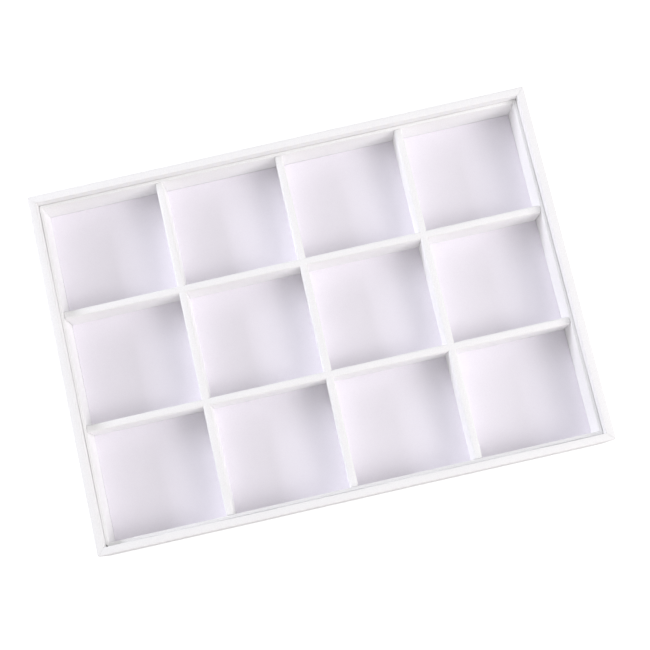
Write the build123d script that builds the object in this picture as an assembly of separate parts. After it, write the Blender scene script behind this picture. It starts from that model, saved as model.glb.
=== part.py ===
from math import sqrt
import os

from build123d import *

# Jewelry display tray: a leatherette-covered, mitred frame with a lift-out insert
# that divides it into compartments. Millimetres, +Z up, +X along the length and
# +Y towards the back. The origin is on the table under the middle of the tray.

# Outside of the tray
tray_length = 350.0
tray_width = 250.0
tray_height = 35.0
corner_radius = 1.5        # outer upright corners of the covered frame
rim_radius = 1.3           # rounding along both top edges of a covered rail
foot_radius = 0.8          # rounding along the lower outer edge

# Frame rails and their covering
rail_thickness = 5.5       # covered, face to face
leatherette = 0.5          # covering sheet, also on the insert
turn_in = 15.0             # covering folded under the bottom, from the outer face
rebate_depth = 2.0         # step in the rail that the bottom board sits in
board_clearance = 0.1      # all round a board or sheet laid into its seat

# Bottom of the frame, from the table upwards
underside_lining = 0.4
lining_margin = 4.0        # outer face to the edge of the lining
lining_corner = 3.0
bottom_board = 2.5
frame_lining = 0.3         # paper on the bottom board, under the insert

# Brads across the mitres, flat-sided as collated ones are
brad_thickness = 1.0
brad_width = 1.25
brad_length = 14.0
brad_clearance = 0.05      # each side of a brad
brad_inset = 8.0           # from the upper and lower end of the rail

# Lift-out insert
insert_gap = 0.3           # between the insert and the rails, each side
insert_recess = 7.0        # top of the rails down to the top of the insert
insert_corner = 1.6        # outer upright corners of the insert
base_board = 1.3
floor_cover = 0.5
liner_thickness = 2.2      # covered, face to face
liner_radius = 0.7         # rounding along the top of the liner

# Dividers
columns = 4
rows = 3
divider_thickness = 5.2    # covered, face to face
divider_radius = 1.4       # rounding along the top and at the ends
divider_end_gap = 0.3      # end of a divider to the face of the liner
lap_clearance = 0.15       # in the half laps, each side

# Levels
covering_bottom = underside_lining
board_bottom = covering_bottom + leatherette
board_top = board_bottom + bottom_board
frame_floor = board_top + frame_lining
base_top = frame_floor + base_board
compartment_floor = base_top + floor_cover
insert_top = tray_height - insert_recess
lap_level = (compartment_floor + insert_top) / 2

# Plan sizes that follow
rail_core = rail_thickness - 2 * leatherette
well_length = tray_length - 2 * rail_thickness
well_width = tray_width - 2 * rail_thickness
insert_length = well_length - 2 * insert_gap
insert_width = well_width - 2 * insert_gap
inside_length = insert_length - 2 * liner_thickness
inside_width = insert_width - 2 * liner_thickness
compartment_length = (inside_length - (columns - 1) * divider_thickness) / columns
compartment_width = (inside_width - (rows - 1) * divider_thickness) / rows
least_radius = 0.05


def slab(length, width, bottom, top, corner=0.0):
    """Upright block centred on the origin, with its four corners rounded if asked."""
    outline = RectangleRounded(length, width, corner) if corner > 0 else Rectangle(length, width)
    return Pos(0, 0, bottom) * extrude(outline, top - bottom)


def under_skin(radius):
    """Radius of a core below a covering that shows the given radius."""
    return max(radius - leatherette, least_radius)


def broken_edge(radius):
    """Chamfer on a core that leaves the covering its thickness over a rounded edge."""
    return (2 - sqrt(2)) * under_skin(radius)


def top_edges(solid):
    return solid.edges().group_by(Axis.Z)[-1]


def bottom_edges(solid):
    return solid.edges().group_by(Axis.Z)[0]


def core_ring(length, width, wall, bottom, top, corner, rounding):
    """Bare wall round a rectangle, its top edges broken for a covering that shows the rounding."""
    body = slab(length, width, bottom, top, under_skin(corner))
    body -= slab(length - 2 * wall, width - 2 * wall, bottom, top)
    return chamfer(top_edges(body), broken_edge(rounding))


def mitre_quarters():
    """One prism for each side of the tray, parted from its neighbours on the mitre planes."""
    reach = tray_length
    half_length = tray_length / 2
    half_width = tray_width / 2
    ridge = half_length - half_width
    far_x = half_length + reach
    far_y = half_width + reach
    outlines = {
        "front": [(-far_x, -far_y), (far_x, -far_y), (ridge, 0), (-ridge, 0)],
        "back": [(-far_x, far_y), (-ridge, 0), (ridge, 0), (far_x, far_y)],
        "left": [(-far_x, -far_y), (-ridge, 0), (-far_x, far_y)],
        "right": [(far_x, -far_y), (far_x, far_y), (ridge, 0)],
    }
    quarters = {}
    for side, corners in outlines.items():
        face = make_face(Polyline(*corners, close=True))
        quarters[side] = extrude(face, tray_height)
    return quarters


def rail_covering():
    """Leatherette over the frame: inner face, top, outer face and a turn-in underneath."""
    skin = slab(tray_length, tray_width, covering_bottom, tray_height, corner_radius)
    skin = fillet(bottom_edges(skin), foot_radius)
    skin -= slab(well_length, well_width, board_top, tray_height)
    skin = fillet(top_edges(skin), rim_radius)
    skin -= rail_ring()
    skin -= slab(tray_length - 2 * leatherette, tray_width - 2 * leatherette, board_bottom, board_top,
                 under_skin(corner_radius))
    skin -= slab(tray_length - 2 * turn_in, tray_width - 2 * turn_in, covering_bottom, board_bottom)
    return skin


def rail_ring():
    """Bare frame, before the rebate and the brad holes."""
    return core_ring(tray_length - 2 * leatherette, tray_width - 2 * leatherette, rail_core,
                     board_bottom, tray_height - leatherette, corner_radius, rim_radius)


def board_seat(clearance):
    """Outline of the bottom board, or of the rebate that takes it."""
    edge = leatherette + rail_core - rebate_depth + clearance
    return tray_length - 2 * edge, tray_width - 2 * edge


def brads(clearance):
    """Two brads through each corner, along X into the end of the front or back rail."""
    pins = []
    centre = tray_length / 2 - leatherette - brad_length / 2
    line = tray_width / 2 - leatherette - rail_core / 2
    pin = Box(brad_length, brad_thickness + 2 * clearance, brad_width + 2 * clearance)
    for across in (-1, 1):
        for side in (-1, 1):
            for level in (board_top + brad_inset, tray_height - leatherette - brad_inset):
                pins.append(Pos(across * centre, side * line, level) * pin)
    return pins


def frame_cores():
    rails = rail_ring()
    rails -= slab(*board_seat(0), board_bottom, board_top)
    for hole in brads(brad_clearance):
        rails -= hole
    return rails


def liner_covering():
    """Leatherette over the insert wall, down to the bottom edge of its base board."""
    skin = slab(insert_length, insert_width, frame_floor, insert_top, insert_corner)
    skin -= slab(inside_length, inside_width, base_top, insert_top)
    skin = fillet(top_edges(skin), liner_radius)
    skin -= liner_core()
    skin -= slab(insert_length - 2 * leatherette, insert_width - 2 * leatherette,
                 frame_floor, base_top, under_skin(insert_corner))
    return skin


def liner_core():
    core = liner_thickness - 2 * leatherette
    return core_ring(insert_length - 2 * leatherette, insert_width - 2 * leatherette, core,
                     base_top, insert_top - leatherette, insert_corner, liner_radius)


def exposed_edges(solid):
    """Edges of a divider along its top and up its ends."""
    return solid.edges() - bottom_edges(solid)


def divider(length, slots, slot_bottom, slot_top):
    """Core and covering of a divider along X, both slotted where the others cross it."""
    outside = slab(length, divider_thickness, compartment_floor, insert_top)
    outside = fillet(exposed_edges(outside), divider_radius)
    core = slab(length - 2 * leatherette, divider_thickness - 2 * leatherette,
                compartment_floor, insert_top - leatherette)
    core = chamfer(exposed_edges(core), broken_edge(divider_radius))
    covering = outside - core
    for place in slots:
        slot_width = divider_thickness + 2 * lap_clearance
        slot = Pos(place, 0, 0) * slab(slot_width, 2 * divider_thickness, slot_bottom, slot_top)
        core -= slot
        covering -= slot
    return core, covering


def crossings(count, clear, inside):
    """Middles of the dividers along one side of the insert."""
    pitch = clear + divider_thickness
    first = -inside / 2 + clear + divider_thickness / 2
    return [first + number * pitch for number in range(count - 1)]


def build():
    nodes = {}
    quarters = mitre_quarters()
    rings = {
        "rail_core": frame_cores(),
        "rail_covering": rail_covering(),
        "liner_core": liner_core(),
        "liner_covering": liner_covering(),
    }
    for name, whole in rings.items():
        for side, quarter in quarters.items():
            nodes[f"{name}_{side}"] = whole & quarter

    nodes["corner_brads"] = Compound(children=brads(0))
    nodes["bottom_board"] = slab(*board_seat(board_clearance), board_bottom, board_top)
    infill = 2 * (turn_in + board_clearance)
    nodes["underside_infill"] = slab(tray_length - infill, tray_width - infill,
                                     covering_bottom, board_bottom)
    nodes["underside_lining"] = slab(tray_length - 2 * lining_margin, tray_width - 2 * lining_margin,
                                     0, covering_bottom, lining_corner)
    nodes["frame_floor_lining"] = slab(well_length - 2 * board_clearance,
                                       well_width - 2 * board_clearance, board_top, frame_floor)
    nodes["insert_base_board"] = slab(insert_length - 2 * leatherette - 2 * board_clearance,
                                      insert_width - 2 * leatherette - 2 * board_clearance,
                                      frame_floor, base_top, under_skin(insert_corner))
    nodes["compartment_floor_cover"] = slab(inside_length - 2 * board_clearance,
                                            inside_width - 2 * board_clearance,
                                            base_top, compartment_floor)

    across = crossings(columns, compartment_length, inside_length)
    along = crossings(rows, compartment_width, inside_width)
    long_core, long_covering = divider(inside_length - 2 * divider_end_gap, across,
                                       compartment_floor, lap_level + lap_clearance)
    short_core, short_covering = divider(inside_width - 2 * divider_end_gap, along,
                                         lap_level - lap_clearance, insert_top)
    for number, place in enumerate(along, start=1):
        nodes[f"long_divider_core_{number}"] = Pos(0, place, 0) * long_core
        nodes[f"long_divider_covering_{number}"] = Pos(0, place, 0) * long_covering
    for number, place in enumerate(across, start=1):
        turned = Pos(place, 0, 0) * Rot(0, 0, 90)
        nodes[f"short_divider_core_{number}"] = turned * short_core
        nodes[f"short_divider_covering_{number}"] = turned * short_covering
    return nodes


os.makedirs("parts", exist_ok=True)
for node, shape in build().items():
    export_step(shape, f"parts/{node}.step")
    print(node, "solids", len(shape.solids()), "volume", round(shape.volume, 2))
print("compartment", round(compartment_length, 2), "by", round(compartment_width, 2))
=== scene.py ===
import math

import bmesh
import bpy
from mathutils import Euler, Matrix, Vector


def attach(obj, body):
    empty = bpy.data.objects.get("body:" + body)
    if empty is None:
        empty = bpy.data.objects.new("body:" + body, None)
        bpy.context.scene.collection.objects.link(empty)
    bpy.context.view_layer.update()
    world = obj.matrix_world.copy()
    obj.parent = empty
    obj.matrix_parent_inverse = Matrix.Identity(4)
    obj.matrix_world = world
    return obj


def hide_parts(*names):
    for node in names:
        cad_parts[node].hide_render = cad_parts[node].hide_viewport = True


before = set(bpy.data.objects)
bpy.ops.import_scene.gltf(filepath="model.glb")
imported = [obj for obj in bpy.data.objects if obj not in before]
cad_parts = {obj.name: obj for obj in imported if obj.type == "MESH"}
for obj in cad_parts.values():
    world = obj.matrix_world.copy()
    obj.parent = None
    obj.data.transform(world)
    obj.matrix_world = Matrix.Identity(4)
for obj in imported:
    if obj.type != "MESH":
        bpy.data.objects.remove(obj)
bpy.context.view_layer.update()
print("frame loaded,", len(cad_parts), "nodes")

scene = bpy.context.scene
scene.view_settings.view_transform = "Standard"


def mm(*values):
    # millimetres as the metres that the scene is in
    return values[0] * 0.001 if len(values) == 1 else Vector(values) * 0.001


camera = {       # fitted to the rim, the gaps, the dividers and the floors in the photograph
    "place": (-21.13, -141.70, 791.74),      # mm
    "turn": (7.8011, 1.2004, -12.7291),      # degrees
    "lens": 63.35,                           # mm
    "sensor": 36,                            # mm
    "shift": (0.0265, 0.0749),               # shares of the sensor's width
    "clip": (0.01, 20),                      # metres
}

# a pale room, a broad lamp on the right, a low cool one on the left and a faint rosy one in front;
# heading in degrees from the right-hand end, counter-clockwise seen from above; metres and watts;
# aim is the spot on the table that a lamp faces: one behind the tray lights its back a little more
lighting = {
    "room": ("FFFFFF", 0.432),
    "rightLamp": {"heading": 345, "height": 40, "away": 1.8, "size": (1.63, 0.91), "power": 20.0,
                  "tint": "FFFBFC", "aim": (0, 0.65)},
    "leftLamp": {"heading": 155, "height": 23, "away": 1.6, "size": (0.8, 0.4), "power": 15.8,
                 "tint": "F5F5FF", "aim": (0, 0.65)},
    "frontLamp": {"heading": 270, "height": 15, "away": 1.8, "size": (0.9, 0.4), "power": 3.3,
                  "tint": "FFEDEE", "aim": (0, 0)},
}


def toLinear(code):
    # an sRGB hex code as the linear colour that a shader takes
    levels = [int(code[k:k + 2], 16) / 255 for k in (0, 2, 4)]
    return [c / 12.92 if c <= 0.04045 else ((c + 0.055) / 1.055) ** 2.4 for c in levels] + [1]


def addNode(tree, kind, settings=None, links=None):
    # settings are a node's own properties or its sockets' values, links its sockets' sources
    node = tree.nodes.new(kind)
    for key, value in (settings or {}).items():
        if isinstance(key, int) or key in node.inputs:
            node.inputs[key].default_value = value
        else:
            setattr(node, key, value)
    for key, source in (links or {}).items():
        tree.links.new(source, node.inputs[key])
    return node


def placeCamera(values):
    data = bpy.data.cameras.new("camera")
    data.sensor_width = values["sensor"]
    data.lens = values["lens"]
    data.shift_x, data.shift_y = values["shift"]
    data.clip_start, data.clip_end = values["clip"]
    view = bpy.data.objects.new("camera", data)
    view.location = mm(*values["place"])
    view.rotation_euler = Euler([math.radians(angle) for angle in values["turn"]])
    scene.collection.objects.link(view)
    scene.camera = view


def placeLamp(name, values):
    data = bpy.data.lights.new(name, "AREA")
    data.shape = "RECTANGLE"
    data.size, data.size_y = values["size"]
    data.energy = values["power"]
    data.color = toLinear(values["tint"])[:3]
    heading, height = math.radians(values["heading"]), math.radians(values["height"])
    place = values["away"] * Vector((math.cos(heading) * math.cos(height),
                                     math.sin(heading) * math.cos(height), math.sin(height)))
    lamp = bpy.data.objects.new(name, data)
    lamp.location = place
    lamp.rotation_euler = (Vector((*values["aim"], 0)) - place).to_track_quat("-Z", "Y").to_euler()
    scene.collection.objects.link(lamp)


def seenAsWhite(tree):
    # 1 for what the camera sees, straight, in a reflection or through glass, and 0 for all other light
    path = addNode(tree, "ShaderNodeLightPath")
    gloss = addNode(tree, "ShaderNodeMath", {"operation": "MAXIMUM"},
                    {0: path.outputs["Is Camera Ray"], 1: path.outputs["Is Glossy Ray"]})
    seen = addNode(tree, "ShaderNodeMath", {"operation": "MAXIMUM"},
                   {0: gloss.outputs[0], 1: path.outputs["Is Transmission Ray"]})
    return seen.outputs[0]


def lightRoom(tint, strength):
    # the room lights the tray, and what the camera and a reflection see of it is plain white
    world = bpy.data.worlds.new("room")
    world.use_nodes = True
    tree = world.node_tree
    tree.nodes.clear()
    lit = addNode(tree, "ShaderNodeBackground", {"Color": toLinear(tint), "Strength": strength})
    white = addNode(tree, "ShaderNodeBackground", {"Color": toLinear("FFFFFF"), "Strength": 1})
    mix = addNode(tree, "ShaderNodeMixShader", None,
                  {0: seenAsWhite(tree), 1: lit.outputs[0], 2: white.outputs[0]})
    addNode(tree, "ShaderNodeOutputWorld", None, {"Surface": mix.outputs[0]})
    scene.world = world


placeCamera(camera)
lightRoom(*lighting["room"])
for lampName in ("rightLamp", "leftLamp", "frontLamp"):
    placeLamp(lampName, lighting[lampName])
print("camera, lamps and room")


def newMaterial(name):
    material = bpy.data.materials.new(name)
    material.use_nodes = True
    material.node_tree.nodes.clear()
    return material, material.node_tree


def newPattern(name):
    # a material with the place on the object, which its patterns are drawn by
    material, tree = newMaterial(name)
    return material, tree, addNode(tree, "ShaderNodeTexCoord").outputs["Object"]


def perMetre(size):
    # the texture scale that gives a pattern of this size in mm
    return 1000 / size


lower, upper, mixed = 6, 7, 2    # sockets of a Mix node between two colours, and its result


leatherette = {  # PU leatherette: white coated cloth, its fine pressed grain gives a soft satin face
    "colour": "F9F9F9",
    "valleyShade": "F4F4F4",      # painted shade, in the hollows of the grain
    "grain": 0.75,           # mm, a pebble of the grain
    "slope": (0.1, 0.8),     # where the side of a pebble begins and ends, from its middle
    "pore": 0.2,             # mm
    "poreHeight": 0.3,       # of a pebble's height
    "cloud": 38.0,           # mm, slow changes of tone, coarser than any real mark so that they show
    "cloudSpread": (0.35, 0.65),
    "cloudTone": 0.985,      # the darkest of them
    "height": 0.035,         # mm, depth of the grain
    "relief": 0.6,           # how strongly the light shows it
    "roughness": (0.46, 0.60),   # on the pebbles and between them
    "ior": 1.47,
}

floorSheet = dict(leatherette, colour="F7F4FB", valleyShade="F3EFF7", grain=0.5, pore=0.16, height=0.012,
                  roughness=(0.50, 0.60))    # smoother and pale lilac, its grain's hollows also painted darker as shade


def leatheretteMaterial(name, values):
    material, tree, place = newPattern(name)
    cells = addNode(tree, "ShaderNodeTexVoronoi", {"Scale": perMetre(values["grain"])}, {"Vector": place})
    pebbles = addNode(tree, "ShaderNodeMapRange",
                      {"interpolation_type": "SMOOTHSTEP", "From Min": values["slope"][0],
                       "From Max": values["slope"][1], "To Min": 1.0, "To Max": 0.0},
                      {"Value": cells.outputs["Distance"]})
    pores = addNode(tree, "ShaderNodeTexNoise", {"Scale": perMetre(values["pore"]), "Detail": 1.0},
                    {"Vector": place})
    height = addNode(tree, "ShaderNodeMath", {"operation": "MULTIPLY_ADD", 1: values["poreHeight"]},
                     {0: pores.outputs["Fac"], 2: pebbles.outputs[0]})
    cloud = addNode(tree, "ShaderNodeTexNoise", {"Scale": perMetre(values["cloud"]), "Detail": 2.0},
                    {"Vector": place})
    tone = addNode(tree, "ShaderNodeMapRange",
                   {"From Min": values["cloudSpread"][0], "From Max": values["cloudSpread"][1],
                    "To Min": values["cloudTone"], "To Max": 1.0}, {"Value": cloud.outputs["Fac"]})
    # the hollows of the grain get the darker colour: painted shade, beside the real relief of the bump
    grain = addNode(tree, "ShaderNodeMix", {"data_type": "RGBA", lower: toLinear(values["valleyShade"]),
                                            upper: toLinear(values["colour"])},
                    {0: pebbles.outputs[0]})
    shade = addNode(tree, "ShaderNodeVectorMath", {"operation": "SCALE"},
                    {0: grain.outputs[mixed], "Scale": tone.outputs[0]})
    rough = addNode(tree, "ShaderNodeMapRange",
                    {"To Min": values["roughness"][1], "To Max": values["roughness"][0]},
                    {"Value": pebbles.outputs[0]})
    bump = addNode(tree, "ShaderNodeBump",
                   {"Strength": values["relief"], "Distance": mm(values["height"])},
                   {"Height": height.outputs[0]})
    shader = addNode(tree, "ShaderNodeBsdfPrincipled", {"IOR": values["ior"]},
                     {"Base Color": shade.outputs[0], "Roughness": rough.outputs[0],
                      "Normal": bump.outputs[0]})
    addNode(tree, "ShaderNodeOutputMaterial", None, {"Surface": shader.outputs[0]})
    return material


fibres = {       # what the boards and papers share
    "twist": 0.6, "contrast": (0.3, 0.7), "relief": 0.5, "ior": 1.5,
    "speckSpacing": 2.2,     # mm
    "speckEdge": (0.05, 0.2),    # where a speck begins and ends to fade, of its spacing
}

# pressed and laid fibres: pale and dark fibre, fibre thickness in mm, how drawn out they lie, how dark
# the specks are, depth of the surface in mm
boards = {
    "raw-mdf": {"pale": "C9AE86", "dark": "AF9168", "fibre": 0.35, "drawn": 3.0, "speck": 0.12,
                "height": 0.03, "roughness": 0.85},       # sawn and sanded, brown and matt
    "grey-chipboard": {"pale": "ABA79F", "dark": "8C8880", "fibre": 0.25, "drawn": 4.0, "speck": 0.35,
                       "height": 0.02, "roughness": 0.9}, # recycled pulp, grey with darker specks
    "white-wood-free-paper": {"pale": "F3F2EF", "dark": "E6E4DF", "fibre": 0.3, "drawn": 2.0, "speck": 0.04,
                              "height": 0.008, "roughness": 0.8},   # calendered, nearly smooth
    "felt-marked-paper": {"pale": "ECEBE9", "dark": "D2D0CC", "fibre": 2.2, "drawn": 1.6, "speck": 0.05,
                          "height": 0.08, "roughness": 0.88},       # soft hollows from the felt, painted darker as shade in them
}


def boardMaterial(name):
    values = boards[name]
    material, tree, place = newPattern(name)
    along = addNode(tree, "ShaderNodeMapping", {"Scale": (1, values["drawn"], 1)}, {"Vector": place})
    strands = addNode(tree, "ShaderNodeTexNoise",
                      {"Scale": perMetre(values["fibre"] * values["drawn"]), "Detail": 3.0,
                       "Distortion": fibres["twist"]}, {"Vector": along.outputs[0]})
    specks = addNode(tree, "ShaderNodeTexVoronoi", {"Scale": perMetre(fibres["speckSpacing"])},
                     {"Vector": place})
    speck = addNode(tree, "ShaderNodeMapRange",
                    {"From Min": fibres["speckEdge"][0], "From Max": fibres["speckEdge"][1],
                     "To Min": values["speck"], "To Max": 0.0}, {"Value": specks.outputs["Distance"]})
    spread = addNode(tree, "ShaderNodeMapRange",
                     {"From Min": fibres["contrast"][0], "From Max": fibres["contrast"][1]},
                     {"Value": strands.outputs["Fac"]})
    part = addNode(tree, "ShaderNodeMath", {"operation": "SUBTRACT", "use_clamp": True},
                   {0: spread.outputs[0], 1: speck.outputs[0]})
    # the dark colour falls where the bump is low: in the felt-marked paper this is painted shade in the
    # felt's hollows
    colour = addNode(tree, "ShaderNodeMix", {"data_type": "RGBA", lower: toLinear(values["dark"]),
                                             upper: toLinear(values["pale"])}, {0: part.outputs[0]})
    bump = addNode(tree, "ShaderNodeBump",
                   {"Strength": fibres["relief"], "Distance": mm(values["height"])},
                   {"Height": strands.outputs["Fac"]})
    shader = addNode(tree, "ShaderNodeBsdfPrincipled",
                     {"IOR": fibres["ior"], "Roughness": values["roughness"]},
                     {"Base Color": colour.outputs[mixed], "Normal": bump.outputs[0]})
    addNode(tree, "ShaderNodeOutputMaterial", None, {"Surface": shader.outputs[0]})
    return material


wire = {         # drawn mild steel with a thin zinc wash: greyish white, dulled in streaks along the draw
    "colour": "C4C6C8", "roughness": (0.28, 0.48),
    "streak": 0.12,          # mm, width of a streak
    "drawn": 0.08,           # of that width to its length
    "contrast": (0.3, 0.7),
}


def steelMaterial(name, values):
    material, tree, place = newPattern(name)
    along = addNode(tree, "ShaderNodeMapping", {"Scale": (values["drawn"], 1, 1)}, {"Vector": place})
    streaks = addNode(tree, "ShaderNodeTexNoise", {"Scale": perMetre(values["streak"]), "Detail": 2.0},
                      {"Vector": along.outputs[0]})
    rough = addNode(tree, "ShaderNodeMapRange",
                    {"From Min": values["contrast"][0], "From Max": values["contrast"][1],
                     "To Min": values["roughness"][0], "To Max": values["roughness"][1]},
                    {"Value": streaks.outputs["Fac"]})
    shader = addNode(tree, "ShaderNodeBsdfPrincipled",
                     {"Metallic": 1.0, "Base Color": toLinear(values["colour"])},
                     {"Roughness": rough.outputs[0]})
    addNode(tree, "ShaderNodeOutputMaterial", None, {"Surface": shader.outputs[0]})
    return material


whiteLeatherette = leatheretteMaterial("white-pu-leatherette", leatherette)
lilacLeatherette = leatheretteMaterial("lilac-smooth-pu-sheet", floorSheet)
solidParts = {   # the solids that show as they are, under and behind the covering
    "raw-mdf": ("rail_core", "bottom_board", "long_divider_core", "short_divider_core"),
    "grey-chipboard": ("liner_core", "insert_base_board", "underside_infill"),
    "white-wood-free-paper": ("frame_floor_lining",),
    "felt-marked-paper": ("underside_lining",),
    "drawn-steel": ("corner_brads",),
}
for finish, stems in solidParts.items():
    given = steelMaterial(finish, wire) if finish == "drawn-steel" else boardMaterial(finish)
    for node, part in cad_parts.items():
        if node.startswith(stems):
            part.data.materials.clear()
            part.data.materials.append(given)
print("materials")


def block(size, bottom, top):
    mesh = bmesh.new()
    bmesh.ops.create_cube(mesh, size=1.0)
    bmesh.ops.scale(mesh, vec=mm(size[0], size[1], top - bottom), verts=mesh.verts)
    bmesh.ops.translate(mesh, vec=mm(0, 0, (top + bottom) / 2), verts=mesh.verts)
    return mesh


segments = {"corner": 5, "outer": 5, "inner": 4, "foot": 3, "divider": 5, "dividerEnd": 4}


def roundOff(mesh, edges, radius, which):
    bmesh.ops.bevel(mesh, geom=edges, offset=mm(radius), offset_type="OFFSET", affect="EDGES",
                    segments=segments[which], profile=0.5, material=-1, clamp_overlap=True)


square = 0.99    # a face looks a way when the cosine of the angle between them is above this
tilt = 0.01      # and stands upright when the cosine to the vertical is below this


def isTop(face):
    return face.normal.z > square


def isUnder(face):
    return face.normal.z < -square


def isEnd(face):
    return abs(face.normal.x) > square


def isWall(face):
    return abs(face.normal.z) < tilt


def edgesBetween(mesh, isFirst, isSecond):
    found = []
    for edge in mesh.edges:
        if len(edge.link_faces) == 2:
            one, other = edge.link_faces
            if (isFirst(one) and isSecond(other)) or (isFirst(other) and isSecond(one)):
                found.append(edge)
    return found


def cutAcross(mesh, axis, places):
    # cuts every face at these places along X or Y, in mm
    normal = Vector((1, 0, 0)) if axis == 0 else Vector((0, 1, 0))
    for place in places:
        bmesh.ops.bisect_plane(mesh, geom=mesh.verts[:] + mesh.edges[:] + mesh.faces[:],
                               plane_co=normal * mm(place), plane_no=normal)


def evenPlaces(length, step):
    count = max(2, round(length / step))
    return [-length / 2 + length * k / count for k in range(1, count)]


waves = {        # mm for one radian: a long wave along a side, a short one, and how that one drifts across
    "side": (31, 11.3, 47),
    "deep": (27, 12.7, 53),
    "rise": 23,
    "short": 0.6,            # height of the short wave, of the long one's
}


def wanderOff(point, amount, phase):
    # slow waves of a few lengths, so that no two edges are the same
    x, y = (point * 1000).xy
    short = waves["short"]
    far, near, drift = waves["side"]
    side = math.sin(x / far + phase) + short * math.sin(x / near + 2 * phase + y / drift)
    far, near, drift = waves["deep"]
    deep = math.sin(y / far + 1.7 * phase) + short * math.sin(y / near + phase + x / drift)
    rise = math.sin((x + y) / waves["rise"] + 3 * phase)
    return mm(deep * amount / (1 + short), side * amount / (1 + short), rise * amount / 2)


creaseAngle = 38     # degrees, past which two faces meet in a crease


def finishPiece(mesh, name, material, body, nodes):
    bmesh.ops.recalc_face_normals(mesh, faces=mesh.faces[:])
    data = bpy.data.meshes.new(name)
    mesh.to_mesh(data)
    mesh.free()
    data.polygons.foreach_set("use_smooth", [True] * len(data.polygons))
    data.set_sharp_from_angle(angle=math.radians(creaseAngle))
    data.materials.append(material)
    piece = bpy.data.objects.new(name, data)
    scene.collection.objects.link(piece)
    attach(piece, body)
    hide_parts(*nodes)


frameCovering = {        # mm, as the solids but for tighter roundings along the top edges
    "node": "rail_covering", "size": (350.0, 250.0), "bottom": 0.4, "top": 35.0, "wall": 5.5,
    "innerBottom": 3.4, "turnIn": 15.0, "foot": 0.8, "sheet": 0.5,
    "rounding": (0.9, 0.6),  # outer and inner top edge
    "corner": {(-1, -1): 1.6, (1, -1): 1.7, (1, 1): 1.65, (-1, 1): 1.75},    # left or right, front or back
    "seam": 0.03,            # open width of a mitre seam
    "seamRound": {(-1, -1): 0.03, (1, -1): 0.16, (1, 1): 0.14, (-1, 1): 0.05},   # of the sheet's edge at it
    "notch": {(-1, -1): 0.3, (1, -1): 0.1, (1, 1): 0.15, (-1, 1): 0.2},      # at the rim's inner corner
    "step": 9.0,             # spacing of the cuts that let an edge wander
    "wander": 0.08,          # how far an edge wanders off its line
    "phase": 0.4,
}

linerCovering = {        # mm, 0.05 wider on each side than the solids, for the thin gap of the real one
    "node": "liner_covering", "size": (338.5, 238.5), "bottom": 3.7, "top": 28.0, "wall": 2.25,
    "innerBottom": 5.0, "turnIn": None, "foot": None, "sheet": 0.4, "rounding": (0.18, 0.7),
    "corner": {(-1, -1): 1.9, (1, -1): 0.8, (1, 1): 1.0, (-1, 1): 1.3},
    "seam": 0.03,
    "seamRound": {(-1, -1): 0.06, (1, -1): 0.06, (1, 1): 0.06, (-1, 1): 0.06},
    "notch": {}, "step": 9.0, "wander": 0.05, "phase": 2.1,
}

slack = 0.01     # mm, for finding an edge by its place
merge = 0.03     # mm, points that lie closer than this are made one
sliver = 0.02    # mm, a face narrower than this is taken out


def wrappedWall(values):
    # the covering of all four sides in one piece: outer face, rounded top, inner face
    length, width = values["size"]
    mesh = block(values["size"], values["bottom"], values["top"])
    lid = [face for face in mesh.faces if isTop(face)]
    bmesh.ops.inset_region(mesh, faces=lid, thickness=mm(values["wall"]), use_even_offset=True)
    sunk = bmesh.ops.extrude_face_region(mesh, geom=lid)["geom"]
    bmesh.ops.translate(mesh, vec=mm(0, 0, values["innerBottom"] - values["top"]),
                        verts=[item for item in sunk if isinstance(item, bmesh.types.BMVert)])
    middle = [item for item in sunk if isinstance(item, bmesh.types.BMFace)]
    bmesh.ops.delete(mesh, geom=list(set(middle + lid)), context="FACES")
    base = [face for face in mesh.faces if isUnder(face)]
    if values["turnIn"]:
        bmesh.ops.inset_region(mesh, faces=base, thickness=mm(values["turnIn"]), use_even_offset=True)
    bmesh.ops.delete(mesh, geom=base, context="FACES")
    mesh.normal_update()
    upright = {}
    for edge in mesh.edges:
        near = edge.verts[0].co
        if len(edge.link_faces) == 2 and all(isWall(face) for face in edge.link_faces) \
                and abs(near.x) > mm(length / 2 - slack):
            upright[(math.copysign(1, near.x), math.copysign(1, near.y))] = edge
    for corner, edge in upright.items():
        roundOff(mesh, [edge], values["corner"][corner], "corner")
    mesh.normal_update()
    rim = edgesBetween(mesh, isTop, lambda face: not isTop(face))
    halfX, halfY = mm(length / 2 - values["wall"] + slack), mm(width / 2 - values["wall"] + slack)
    inside = [edge for edge in rim
              if all(abs(vert.co.x) < halfX and abs(vert.co.y) < halfY for vert in edge.verts)]
    roundOff(mesh, [edge for edge in rim if edge not in inside], values["rounding"][0], "outer")
    roundOff(mesh, inside, values["rounding"][1], "inner")
    mesh.normal_update()
    if values["foot"]:
        roundOff(mesh, edgesBetween(mesh, isUnder, lambda face: not isUnder(face)), values["foot"], "foot")
    bmesh.ops.remove_doubles(mesh, verts=mesh.verts, dist=mm(merge))
    bmesh.ops.dissolve_degenerate(mesh, dist=mm(sliver), edges=mesh.edges)
    return mesh


def solidSheet(mesh, sheet):
    # gives the outer face its thickness, inwards
    bmesh.ops.recalc_face_normals(mesh, faces=mesh.faces[:])
    bmesh.ops.solidify(mesh, geom=mesh.faces[:], thickness=mm(sheet))


corners = ((-1, -1), (1, -1), (1, 1), (-1, 1))       # left or right, front or back

mitres = {
    "cuts": (0, -0.4, 0.4, -1, 1),   # beside the mitre plane, in shares of the seam's rounding
    "reach": 24,                     # mm, how far from the corner they go
    "snap": 0.002,                   # mm, a point this near a cut is on it
    "onPlane": 0.004,                # mm, a point this near the mitre plane is on it
}


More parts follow.
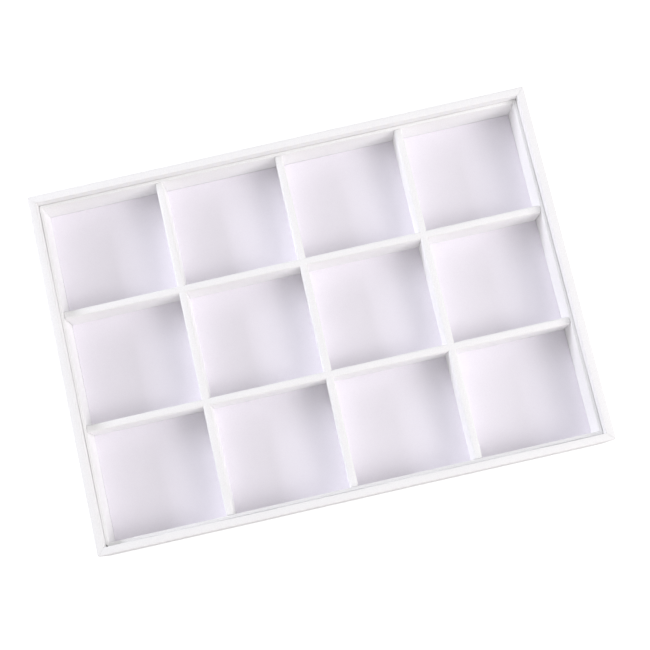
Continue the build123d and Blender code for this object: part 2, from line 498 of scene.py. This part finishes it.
def mitrePlane(corner, values):
    # the tip of a corner, and the direction square to its mitre
    across = Vector((corner[0], -corner[1], 0)).normalized()
    return mm(corner[0] * values["size"][0] / 2, corner[1] * values["size"][1] / 2, 0), across


def offMitre(point, corner, values):
    tip, across = mitrePlane(corner, values)
    return (point - tip).dot(across)


def nearestCorner(point):
    return (1 if point.x > 0 else -1, 1 if point.y > 0 else -1)


def cutMitres(mesh, values):
    # edges along each mitre plane and beside it, as far off as the sheet's edge is rounded
    for corner in corners:
        radius = values["seamRound"][corner]
        tip, across = mitrePlane(corner, values)
        for share in mitres["cuts"]:
            near = []
            for face in mesh.faces:
                off = face.calc_center_median() - tip
                if max(abs(off.x), abs(off.y)) < mm(mitres["reach"]):
                    near.append(face)
            edges = dict.fromkeys(edge for face in near for edge in face.edges)
            verts = dict.fromkeys(vert for face in near for vert in face.verts)
            bmesh.ops.bisect_plane(mesh, geom=near + list(edges) + list(verts), dist=mm(mitres["snap"]),
                                   plane_co=tip + across * mm(share * radius), plane_no=across)


def roundSeams(mesh, values):
    # the sheet thins out to a round edge where it meets the next side
    mesh.normal_update()
    moves = []
    for vert in mesh.verts:
        corner = nearestCorner(vert.co)
        radius = mm(values["seamRound"][corner])
        off = abs(offMitre(vert.co, corner, values))
        if off < radius:
            drop = radius - math.sqrt(max(0, radius ** 2 - (radius - off) ** 2))
            moves.append((vert, vert.normal * drop))
    for vert, move in moves:
        vert.co -= move


def sideOf(point, values):
    deepX = mm(values["size"][0] / 2) - abs(point.x)
    deepY = mm(values["size"][1] / 2) - abs(point.y)
    if deepY < deepX:
        return "front" if point.y < 0 else "back"
    return "left" if point.x < 0 else "right"


def partSide(whole, side, values):
    # one side of the wall with both its ends closed, each drawn back by half the seam
    mesh = whole.copy()
    others = [face for face in mesh.faces if sideOf(face.calc_center_median(), values) != side]
    bmesh.ops.delete(mesh, geom=others, context="FACES")
    bmesh.ops.edgeloop_fill(mesh, edges=[edge for edge in mesh.edges if edge.is_boundary])
    middle = Vector([sum(vert.co[k] for vert in mesh.verts) / len(mesh.verts) for k in range(3)])
    for vert in mesh.verts:
        corner = nearestCorner(vert.co)
        tip, across = mitrePlane(corner, values)
        if abs(offMitre(vert.co, corner, values)) < mm(mitres["onPlane"]):
            towards = math.copysign(1, (middle - tip).dot(across))
            vert.co += across * towards * mm(values["seam"] / 2)
    return mesh


slit = {         # in shares of the notch's size
    "open": 0.55,            # how far each sheet draws back
    "reach": 2.6,            # how far from the corner it still does
    "down": 0.6,             # how much a way down counts beside a level one
    "closing": 1.5,          # power by which the slit closes
}


def openNotches(mesh, side, values):
    # the sheet is drawn back from the inner corner of the rim, where its slit stays open
    along = 0 if side in ("front", "back") else 1
    for (cornerX, cornerY), size in values["notch"].items():
        where = mm(cornerX * (values["size"][0] / 2 - values["wall"]),
                   cornerY * (values["size"][1] / 2 - values["wall"]), values["top"])
        back = Vector((-cornerX, 0, 0)) if along == 0 else Vector((0, -cornerY, 0))
        for vert in mesh.verts:
            gap = vert.co - where
            far = math.hypot(gap.x, gap.y, gap.z * slit["down"]) / mm(slit["reach"] * size)
            if far < 1:
                vert.co += back * mm(size * slit["open"]) * (1 - far) ** slit["closing"]


cornerCuts = (0.8, 2.0, 3.5)     # mm from an inner corner, so that the sheet can bend at the slit


def wallPieces(stem, values, body):
    whole = wrappedWall(values)
    for axis, reach in enumerate(values["size"]):
        inner = reach / 2 - values["wall"]
        near = [sign * (inner - back) for sign in (-1, 1) for back in cornerCuts]
        cutAcross(whole, axis, evenPlaces(reach, values["step"]) + near)
    solidSheet(whole, values["sheet"])
    cutMitres(whole, values)
    roundSeams(whole, values)
    for side in ("front", "back", "left", "right"):
        mesh = partSide(whole, side, values)
        for vert in mesh.verts:
            vert.co += wanderOff(vert.co, values["wander"], values["phase"])
        openNotches(mesh, side, values)
        finishPiece(mesh, stem + side.capitalize(), whiteLeatherette, body,
                    [values["node"] + "_" + side])
    whole.free()
    print(stem, "in four sides")


wallPieces("railCovering", frameCovering, "frame")
wallPieces("linerCovering", linerCovering, "insert")


dividerCovering = {      # mm, a little longer than the solids, so that they nearly touch the liner
    "thickness": 5.2, "bottom": 5.5, "top": 28.0, "rounding": 1.4, "endRounding": 0.9, "sheet": 0.5,
    "lap": 16.75, "lapClearance": 0.15, "onCut": 0.001, "step": 7.0, "wander": 0.04,
    "longLength": 333.9, "shortLength": 233.9,
    "across": (-84.8, 0.0, 84.8),          # middles of the short dividers
    "along": (-39.8667, 39.8667),            # middles of the long dividers
}


def fitOverCrossing(mesh, slots, half, values):
    # the cut edge of a divider follows the rounded top of the one that runs through
    radius = mm(values["rounding"])
    for vert in mesh.verts:
        rise = vert.co.z - mm(values["top"]) + radius
        for place in slots:
            off = vert.co.x - mm(place)
            if rise > 0 and abs(abs(off) - mm(half)) < mm(values["onCut"]):
                vert.co.x -= math.copysign(radius - math.sqrt(max(0, radius ** 2 - rise ** 2)), off)


def dividerPiece(name, length, slots, fromBelow, turned, shift, phase, node):
    values = dividerCovering
    mesh = block((length, values["thickness"]), values["bottom"], values["top"])
    mesh.normal_update()
    topEdges = edgesBetween(mesh, isTop, lambda face: not isTop(face) and not isEnd(face))
    roundOff(mesh, topEdges, values["rounding"], "divider")
    mesh.normal_update()
    endEdges = edgesBetween(mesh, isEnd, lambda face: not isEnd(face) and not isUnder(face))
    roundOff(mesh, endEdges, values["endRounding"], "dividerEnd")
    mesh.normal_update()
    bmesh.ops.delete(mesh, geom=[face for face in mesh.faces if isUnder(face)], context="FACES")
    half = values["thickness"] / 2 + values["lapClearance"]
    cutAcross(mesh, 0, evenPlaces(length, values["step"]))
    cutAcross(mesh, 0, [place + side * half for place in slots for side in (-1, 1)])
    level = mm(values["lap"] + values["lapClearance"] * (1 if fromBelow else -1))
    bmesh.ops.bisect_plane(mesh, geom=mesh.verts[:] + mesh.edges[:] + mesh.faces[:],
                           plane_co=(0, 0, level), plane_no=(0, 0, 1))
    inSlot = []
    for face in mesh.faces:
        centre = face.calc_center_median()
        inside = any(abs(centre.x - mm(place)) < mm(half) for place in slots)
        if inside and (centre.z < level) == fromBelow:
            inSlot.append(face)
    bmesh.ops.delete(mesh, geom=inSlot, context="FACES")
    if not fromBelow:
        fitOverCrossing(mesh, slots, half, values)
    for vert in mesh.verts:
        vert.co += wanderOff(vert.co, values["wander"], phase)
    solidSheet(mesh, values["sheet"])
    if turned:
        bmesh.ops.rotate(mesh, verts=mesh.verts, cent=(0, 0, 0), matrix=Matrix.Rotation(math.pi / 2, 3, "Z"))
    bmesh.ops.translate(mesh, vec=mm(*shift, 0), verts=mesh.verts)
    finishPiece(mesh, name, whiteLeatherette, "insert", [node])


for number, place in enumerate(dividerCovering["along"], start=1):
    dividerPiece("longDividerCovering%d" % number, dividerCovering["longLength"], dividerCovering["across"],
                 True, False, (0, place), number, "long_divider_covering_%d" % number)
for number, place in enumerate(dividerCovering["across"], start=1):
    dividerPiece("shortDividerCovering%d" % number, dividerCovering["shortLength"], dividerCovering["along"],
                 False, True, (place, 0), 3 + number, "short_divider_covering_%d" % number)
print("dividers")


floorCover = {           # mm
    "size": (333.8, 233.8), "top": 5.5, "sheet": 0.5,
    "crown": 0.12,           # rise in the middle of a compartment
    "flat": 0.92, "power": 4,    # it ends at this share of the way to a divider, and falls off by this power
    "count": (4, 3), "pitch": (84.8, 79.7333),
    "cells": (112, 78),      # squares of the sheet's mesh
}


def floorPiece(values):
    # one sheet under all the dividers, a little raised in the middle of each compartment
    mesh = bmesh.new()
    length, width = values["size"]
    bmesh.ops.create_grid(mesh, x_segments=values["cells"][0], y_segments=values["cells"][1], size=0.5)
    bmesh.ops.scale(mesh, vec=mm(length, width, 1), verts=mesh.verts)
    for vert in mesh.verts:
        x, y = vert.co.x * 1000, vert.co.y * 1000
        u = ((x / values["pitch"][0] + 0.5 * values["count"][0]) % 1) * 2 - 1
        v = ((y / values["pitch"][1] + 0.5 * values["count"][1]) % 1) * 2 - 1
        rise = math.prod(max(0, 1 - (way / values["flat"]) ** values["power"]) for way in (u, v))
        vert.co.z = mm(values["top"] + values["crown"] * rise)
    bmesh.ops.solidify(mesh, geom=mesh.faces[:], thickness=mm(values["sheet"]))
    finishPiece(mesh, "compartmentFloor", lilacLeatherette, "insert",
                ["compartment_floor_cover"])


floorPiece(floorCover)
print("compartment floor")


tableTop = {     # a matt grey top that gives off the rest of its white to the eye alone
    "colour": "A8A8A8",
    "glow": 0.8,
    "half": 6.0,             # metres, middle to edge
}


def whiteTable(values):
    # it stays white where the lamps reach it and keeps the tray's shadow
    material, tree = newMaterial("white-table")
    lift = addNode(tree, "ShaderNodeMath", {"operation": "MULTIPLY", 1: values["glow"]},
                   {0: seenAsWhite(tree)})
    pale = addNode(tree, "ShaderNodeBsdfDiffuse", {"Color": toLinear(values["colour"])})
    glow = addNode(tree, "ShaderNodeEmission", {"Color": toLinear("FFFFFF")},
                   {"Strength": lift.outputs[0]})
    both = addNode(tree, "ShaderNodeAddShader", None, {0: pale.outputs[0], 1: glow.outputs[0]})
    addNode(tree, "ShaderNodeOutputMaterial", None, {"Surface": both.outputs[0]})
    mesh = bmesh.new()
    bmesh.ops.create_grid(mesh, x_segments=1, y_segments=1, size=values["half"])
    data = bpy.data.meshes.new("table")
    mesh.to_mesh(data)
    mesh.free()
    data.materials.append(material)
    table = bpy.data.objects.new("table", data)
    scene.collection.objects.link(table)


whiteTable(tableTop)
print("table")
print("done")
